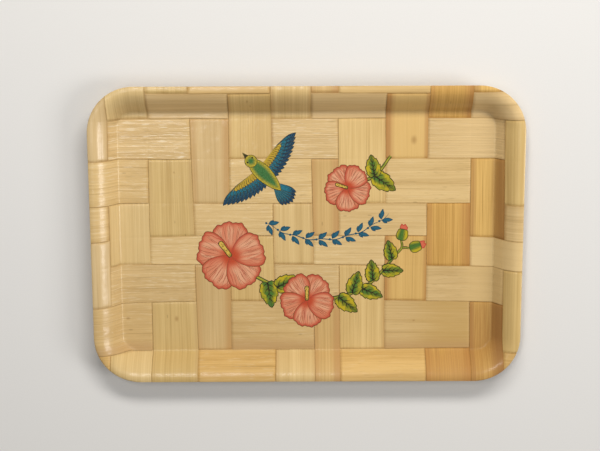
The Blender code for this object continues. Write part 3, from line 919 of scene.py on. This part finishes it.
def mirrored(side):
    return side + [(u, -v) for u, v in reversed(side)]


def towards(start, degrees, reach):
    """The point at the distance reach from start, in the direction degrees."""
    turn = math.radians(degrees)
    return np.array([start[0] + reach * math.cos(turn), start[1] + reach * math.sin(turn)])


def round_loop(centre, radius, points=16):
    return np.array([towards(centre, 360 * k / points, radius) for k in range(points)])


def petal(paints, centre, aim, length, width, level, seed):
    """A broad petal that leaves the centre at the angle aim, in degrees, and ends in a ruffled edge."""
    turn = math.radians(aim)
    tip = (centre[0] + length * math.cos(turn), centre[1] + length * math.sin(turn))
    axis = Axis(centre, tip, width)
    uv = curve(mirrored(PETAL_SIDE), True, 9)
    swing = uv[:, 1] * 2
    ruffle = 0.022 * np.sin(8.5 * swing + seed) + 0.014 * np.sin(19 * swing + 2.3 * seed)
    ruffle = ruffle + 0.03 * np.cos(2.1 * swing + seed)
    uv = uv * (1 + ruffle * smoothstep((uv[:, 0] - 0.45) / 0.4))[:, None]
    loop = axis.out(uv)
    half = np.array(PETAL_SIDE)

    def marks(points):
        local = axis.back(points)
        reach = np.interp(local[:, 0], half[:, 0], half[:, 1] + 0.02)
        out = np.hypot(local[:, 0], local[:, 1] * width / length)
        return np.column_stack([out, np.clip(local[:, 1] / reach, -1.2, 1.2)])

    paints["petals"].fill(loop, level, marks, seed * 1.7)
    start = int(len(loop) * 0.08)
    paints["red_lines"].ribbon(loop[start:-start], (0.2, 0.62, 0.66, 0.62, 0.2), level + 0.5, seed)
    for k in range(9):
        v = (k - 4 + 0.35 * math.sin(seed + 2 * k)) / 9.6
        start = 0.36 + 0.12 * math.sin(5 * k + 1.7 * seed)
        vein = curve([(start, 0.45 * v), (0.68, 0.78 * v), (0.93 - 0.5 * v * v, 0.98 * v)], per=5)
        paints["red_lines"].ribbon(axis.out(vein), (0.06, 0.36, 0.14), level + 0.45, seed)


def flower(paints, centre, radius, turn, level, seed):
    """Five even petals and a short stamen that points between the first two."""
    for k in range(PETALS):
        petal(paints, centre, turn + 360 / PETALS * k, radius, 1.05 * radius, level + k, seed + 2.1 * k)
    axis = Axis(centre, towards(centre, turn + 180 / PETALS, 0.55 * radius), 0.15 * radius)
    side = [(0.0, 0.30), (0.12, 0.42), (0.5, 0.44), (0.85, 0.52), (0.99, 0.30)]
    loop = axis.out(curve(mirrored(side), True, 6))
    paints["stamens"].fill(loop, level + PETALS, axis.back, seed, 0.8)
    paints["ink"].ribbon(loop, (0.55, 0.55), level + PETALS + 0.5, closed=True)


def leaf(paints, base, tip, width, level, seed, heart=0.0, teeth=6):
    """A toothed leaf with its midrib and side veins. heart pulls two lobes back past the stalk."""
    axis = Axis(base, tip, width)
    side = np.array(LEAF_SIDE)
    side[1:4, 0] -= heart * np.array([1.0, 0.75, 0.25])
    right = curve(side, per=12)
    run = np.linspace(0, teeth, len(right))
    tooth = (run - np.floor(run)) * smoothstep(run / 1.2) * smoothstep((teeth - run) / 0.8)
    right = right + np.column_stack([0.022 * tooth, 0.085 * tooth])
    loop = axis.out(np.concatenate([right, right[::-1] * [1, -1]]))
    paints["leaves"].fill(loop, level, axis.back, seed)
    ink = paints["ink"]
    ink.ribbon(loop, (0.78, 0.78), level + 0.5, closed=True)
    ink.ribbon(axis.out(curve([(t, 0.0) for t in (0.0, 0.3, 0.6, 0.93)])), (1.5, 0.9, 0.2), level + 0.6)
    for k, start in enumerate((0.06, 0.26, 0.46, 0.64)):
        for sign in (1, -1):
            reach = sign * (0.36 - 0.075 * k)
            at = start + 0.03 * sign
            vein = [(at, 0.0), (at + 0.05, reach * 0.5), (at + 0.17, reach)]
            ink.ribbon(axis.out(curve(vein)), (1.2, 0.9, 0.2), level + 0.55)


def stem(paints, points, widths, level, seed=0.0):
    path = curve(points, per=8)
    paints["stems"].ribbon(path, widths, level, seed)
    run = np.gradient(path, axis=0)
    side = np.stack([-run[:, 1], run[:, 0]], 1) / np.linalg.norm(run, axis=1, keepdims=True)
    half = np.interp(np.linspace(0, 1, len(path)), np.linspace(0, 1, len(widths)), widths)[:, None] / 2
    for sign in (1, -1):
        paints["ink"].ribbon(path + sign * side * half, (0.3, 0.75, 0.75, 0.3), level + 0.15)


def bud(paints, base, tip, width, level):
    axis = Axis(base, tip, width)
    crown = [
        (0.58, 0.26), (0.80, 0.37), (1.0, 0.27), (0.94, 0.10),
        (1.03, -0.04), (0.94, -0.20), (0.82, -0.36), (0.58, -0.26),
    ]
    loop = axis.out(curve(crown, True, 4))
    paints["buds"].fill(loop, level, axis.back, 1.0, 0.8)
    side = [(0.0, 0.12), (0.07, 0.40), (0.28, 0.54), (0.50, 0.49), (0.68, 0.33)]
    loop = axis.out(curve(mirrored(side), True, 6))
    paints["buds"].fill(loop, level + 1, axis.back, 0.0, 0.8)
    paints["ink"].ribbon(loop, (0.4, 0.4), level + 1.5, closed=True)
    for v in (-0.2, 0.18):
        rib = curve([(0.1, v * 0.6), (0.35, v), (0.62, v * 0.8)])
        paints["ink"].ribbon(axis.out(rib), (0.1, 0.3, 0.1), level + 1.5)


def feather(paints, side, root, tip, width, level, tint):
    axis = Axis(root, tip, width)
    uv = curve(mirrored(side), True, 5)
    paints["feathers"].fill(axis.out(uv), level, lambda q: axis.back(q) * [1, 2], tint, 0.8)
    paints["blue_lines"].ribbon(axis.out(uv[3:-3]), (0.1, 0.42, 0.45, 0.42, 0.1), level + 0.5)


PAINTS = {
    "petals": petal_paint,
    "leaves": leaf_paint,
    "stems": stem_paint,
    "stamens": stamen_paint,
    "buds": bud_paint,
    "feathers": feather_paint,
    "body": body_paint,
    "beads": border_paint,
    "ink": lambda name: line_paint(name, INK),
    "red_lines": lambda name: line_paint(name, RED_INK),
    "blue_lines": lambda name: line_paint(name, BLUE_INK),
}


def new_paints():
    return {key: Sheet() for key in PAINTS}


def publish(paints, node):
    """One piece for each paint that this print uses."""
    for key, sheet in paints.items():
        if sheet.faces:
            name = f"{node}_{key}"
            place(name, sheet.mesh(name), PAINTS[key](name + "_paint"), node)


BRANCH = [(-62, -40), (0, -68), (56, -58), (96, -16)]
LEAF_STATIONS = (0.13, 0.17, 0.52, 0.60, 0.68, 0.76, 0.84, 0.92)  # shares of the branch's length
LEAF_LEAN, BUD_LEAN = 52, 50  # degrees away from the branch


def draw_spray():
    """A bowed branch with a flower at its start, one on its way, alternate leaves and two buds."""
    p = new_paints()
    stem(p, BRANCH, (3.6, 3.2, 2.6), 0, 5)
    path = curve(BRANCH, per=20)
    run = np.gradient(path, axis=0)
    aims = np.degrees(np.arctan2(run[:, 1], run[:, 0]))
    for k, share in enumerate(LEAF_STATIONS):
        at = int(share * (len(path) - 1))
        length = 27 - k
        tip = towards(path[at], aims[at] + (LEAF_LEAN if k % 2 else -LEAF_LEAN), length)
        leaf(p, path[at], tip, 0.62 * length, 1 + k % 2, 1.3 + 2.1 * k, heart=0.08)
    for level, lean in ((1, -BUD_LEAN), (3, BUD_LEAN)):
        base = towards(path[-1], aims[-1] + lean, 8)
        stem(p, [path[-1], towards(path[-1], aims[-1] + 0.8 * lean, 4), base], (2.2, 1.6), 0.2 * level, level)
        bud(p, base, towards(base, aims[-1] + 0.6 * lean, 17), 11, level)
    flower(p, (-77, -24), 34, 90, 2, 0.4)
    flower(p, (0, -70), 27, 54, 2, 5.3)
    publish(p, "print_spray")


def draw_sprig():
    """One flower on a bowed stem with a pair of leaves."""
    p = new_paints()
    arc = [(46, 50), (68, 58), (84, 78)]
    stem(p, arc, (3.0, 3.2, 2.6), 0, 3)
    for level, aim, length, seed in ((1, -35, 26, 6.6), (2, 100, 22, 3.1)):
        leaf(p, arc[1], towards(arc[1], aim, length), 0.62 * length, level, seed, heart=0.08, teeth=5)
    flower(p, (41, 46), 23, 126, 2, 8.8)
    publish(p, "print_sprig")


BIRD_AT, BIRD_AIM = (-42, 60), 135  # middle of the body and the direction of flight, in degrees
TAIL_FEATHERS, WING_FEATHERS = 7, 11
BODY_SIDE = [(0.0, 0.06), (0.2, 0.32), (0.55, 0.50), (0.85, 0.42), (1.0, 0.15)]
BEAK_SIDE = [(0.0, 0.5), (0.5, 0.32), (1.0, 0.03)]
BODY_LEVEL, BEAK_LEVEL, HEAD_LEVEL, LINE = 9, 9.3, 10, 0.5


def draw_wing(p, side):
    """Even feathers fanned from a straight arm, with two rows of short ones over their roots."""
    shoulder = towards(towards(BIRD_AT, BIRD_AIM, 8), BIRD_AIM + 90 * side, 2)
    for row, (reach, width, tint) in enumerate(((1.0, 6.4, 0.7), (0.55, 4.8, 0.1), (0.32, 4.0, -0.45))):
        for k in range(WING_FEATHERS):
            share = k / (WING_FEATHERS - 1)
            root = towards(shoulder, BIRD_AIM + 84 * side, 22 * (1 - share))
            aim = BIRD_AIM + side * (96 + 62 * share)
            outline = SCALE_SIDE if row else PLUME_SIDE
            tip = towards(root, aim, reach * (28 - 8 * share))
            feather(p, outline, root, tip, width, 2 + 2.2 * row + 0.2 * k, tint)


def draw_bird():
    """A plain bird in flight seen from above: round head, egg-shaped body, even wings, fanned tail."""
    p = new_paints()
    rump = towards(BIRD_AT, BIRD_AIM, -14)
    middle = (TAIL_FEATHERS - 1) / 2
    for k in range(TAIL_FEATHERS):
        tip = towards(rump, BIRD_AIM + 180 + 8 * (k - middle), 26 - abs(k - middle))
        feather(p, PLUME_SIDE, rump, tip, 6.5, 0.2 * k, 0.6)
    for side in (1, -1):
        draw_wing(p, side)
    head = towards(BIRD_AT, BIRD_AIM, 19)
    axis = Axis(towards(BIRD_AT, BIRD_AIM, -22), head, 16)
    loop = axis.out(curve(mirrored(BODY_SIDE), True, 6))
    p["body"].fill(loop, BODY_LEVEL, axis.back, 0.0, 1.2)
    p["ink"].ribbon(loop, (0.5, 0.5), BODY_LEVEL + LINE, closed=True)
    axis = Axis(towards(head, BIRD_AIM, 4.5), towards(head, BIRD_AIM, 12), 4.4)
    p["ink"].fill(axis.out(curve(mirrored(BEAK_SIDE), True, 4)), BEAK_LEVEL, axis.back, 0.0, 0.8)
    loop = round_loop(head, 6.2, 28)
    p["body"].fill(loop, HEAD_LEVEL, lambda q: q * 0, 0.0, 1.1)
    p["ink"].ribbon(loop, (0.5, 0.5), HEAD_LEVEL + LINE, closed=True)
    for side in (1, -1):
        eye = towards(towards(head, BIRD_AIM, 1.5), BIRD_AIM + 90 * side, 3.4)
        p["ink"].fill(round_loop(eye, 0.9), HEAD_LEVEL + LINE, lambda q: q * 0, 0.0, 0.6)
    publish(p, "print_bird")


BORDER_CENTRE, BORDER_RADIUS = (15, 92), 99
BORDER_FROM, BORDER_TO, BORDER_MOTIFS = 235, 313, 10
SPRIG_SIDE = [(0.0, 0.04), (0.3, 0.38), (0.6, 0.46), (0.88, 0.20), (0.99, 0.03)]


def draw_border():
    """A garland: a thin wavy line with a pair of leaves at every station and a bead between them."""
    p = new_paints()
    angles = np.linspace(BORDER_FROM, BORDER_TO, 160)

    def at(angle, lift):
        turn = np.radians(angle)
        reach = BORDER_RADIUS - lift
        x, y = BORDER_CENTRE
        return np.stack([x + reach * np.cos(turn), y + reach * np.sin(turn)], -1)

    step = (BORDER_TO - BORDER_FROM) / BORDER_MOTIFS
    wave = 0.9 * np.sin((angles - BORDER_FROM) / step * math.pi)
    p["beads"].ribbon(at(angles, wave), (0.3, 1.0, 1.0, 1.0, 0.3), 0)
    for k in range(BORDER_MOTIFS):
        middle = BORDER_FROM + step * (k + 0.5)
        for sign in (1, -1):
            for lean, length, width in ((3.3, 7.6, 4.6), (-0.2, 6.6, 3.4)):
                root, tip = at(middle - 1.6, 0.4 * sign), at(middle + lean, sign * length)
                axis = Axis(root, tip, width)
                loop = axis.out(curve(mirrored(SPRIG_SIDE), True, 5))
                p["beads"].fill(loop, 0.5 + 0.4 * (lean > 0), axis.back, k, 0.9)
        round_at = at(BORDER_FROM + step * k + 0.1 * step, 0)
        turn = np.linspace(0, 2 * math.pi, 20, endpoint=False)
        bead = round_at + 1.15 * np.stack([np.cos(turn), np.sin(turn)], 1)
        p["beads"].fill(bead, 0.7, lambda q: q * 0, k, 0.8)
    publish(p, "print_border")


for draw in (draw_border, draw_spray, draw_sprig, draw_bird):
    draw()


# ---------------------------------------------------------------- floor, light and camera
def floor():
    mesh = bpy.data.meshes.new("floor")
    size = 6.0
    z = CAD_LOW.z - 0.05 * MM
    corners = [(-size, -size, z), (size, -size, z), (size, size, z), (-size, size, z)]
    mesh.from_pydata(corners, [], [(0, 1, 2, 3)])
    obj = bpy.data.objects.new("floor", mesh)
    bpy.context.scene.collection.objects.link(obj)
    g = Graph("floor_paper")
    where = g.tree.nodes.new("ShaderNodeTexCoord").outputs["Object"]
    speckle = g.noise(where, 3.0, 0.6, 900)
    colour = g.mix(speckle, (0.70, 0.69, 0.67), (0.76, 0.75, 0.73))
    mesh.materials.append(g.finish(Base_Color=colour, Roughness=0.85))


def area_light(name, place_at, target, size, power, colour=(1, 1, 1)):
    data = bpy.data.lights.new(name, "AREA")
    data.shape = "RECTANGLE"
    data.size, data.size_y = size
    data.energy = power
    data.color = colour
    obj = bpy.data.objects.new(name, data)
    bpy.context.scene.collection.objects.link(obj)
    obj.location = place_at
    obj.rotation_euler = (Vector(target) - Vector(place_at)).to_track_quat("-Z", "Y").to_euler()
    return obj


def studio():
    world = bpy.data.worlds.new("studio")
    bpy.context.scene.world = world
    world.use_nodes = True
    background = world.node_tree.nodes["Background"]
    background.inputs["Color"].default_value = (1.0, 0.985, 0.96, 1)
    background.inputs["Strength"].default_value = 0.18
    key = area_light("key", (0.26, 1.33, 1.25), (0, 0, 0), (1.4, 0.36), 27.5, (1, 0.975, 0.94))
    key.visible_glossy = False  # it only fills; the smaller lamps give the lacquer its highlights
    area_light("overhead", (-0.22, 0.51, 1.5), (0, 0, 0), (0.16, 0.30), 3.2, (1, 0.985, 0.97))
    area_light("sheen", (-0.30, 0.12, 1.5), (-0.1, 0, 0), (0.22, 0.22), 1.6, (1, 0.985, 0.97))
    area_light("side", (2.5, -0.40, 1.74), (0, 0, 0), (0.95, 1.2), 34, (1, 0.985, 0.97))


SENSOR, HALF_VIEW = 36, 12  # millimetres and degrees
CAMERA_X, CAMERA_Y, CAMERA_RISE = -0.0056, 0.2974, 1.371
CAMERA_TILT, CAMERA_ROLL = -11.76, -0.23


def camera():
    data = bpy.data.cameras.new("camera")
    data.sensor_width = SENSOR
    data.lens = SENSOR / 2 / math.tan(math.radians(HALF_VIEW))
    obj = bpy.data.objects.new("camera", data)
    bpy.context.scene.collection.objects.link(obj)
    obj.location = (CAMERA_X, CAMERA_Y, CAD_HIGH.z + CAMERA_RISE)
    obj.rotation_euler = Euler((math.radians(CAMERA_TILT), 0, math.radians(CAMERA_ROLL)))
    bpy.context.scene.camera = obj


floor()
studio()
camera()
bpy.context.scene.view_settings.view_transform = "Standard"
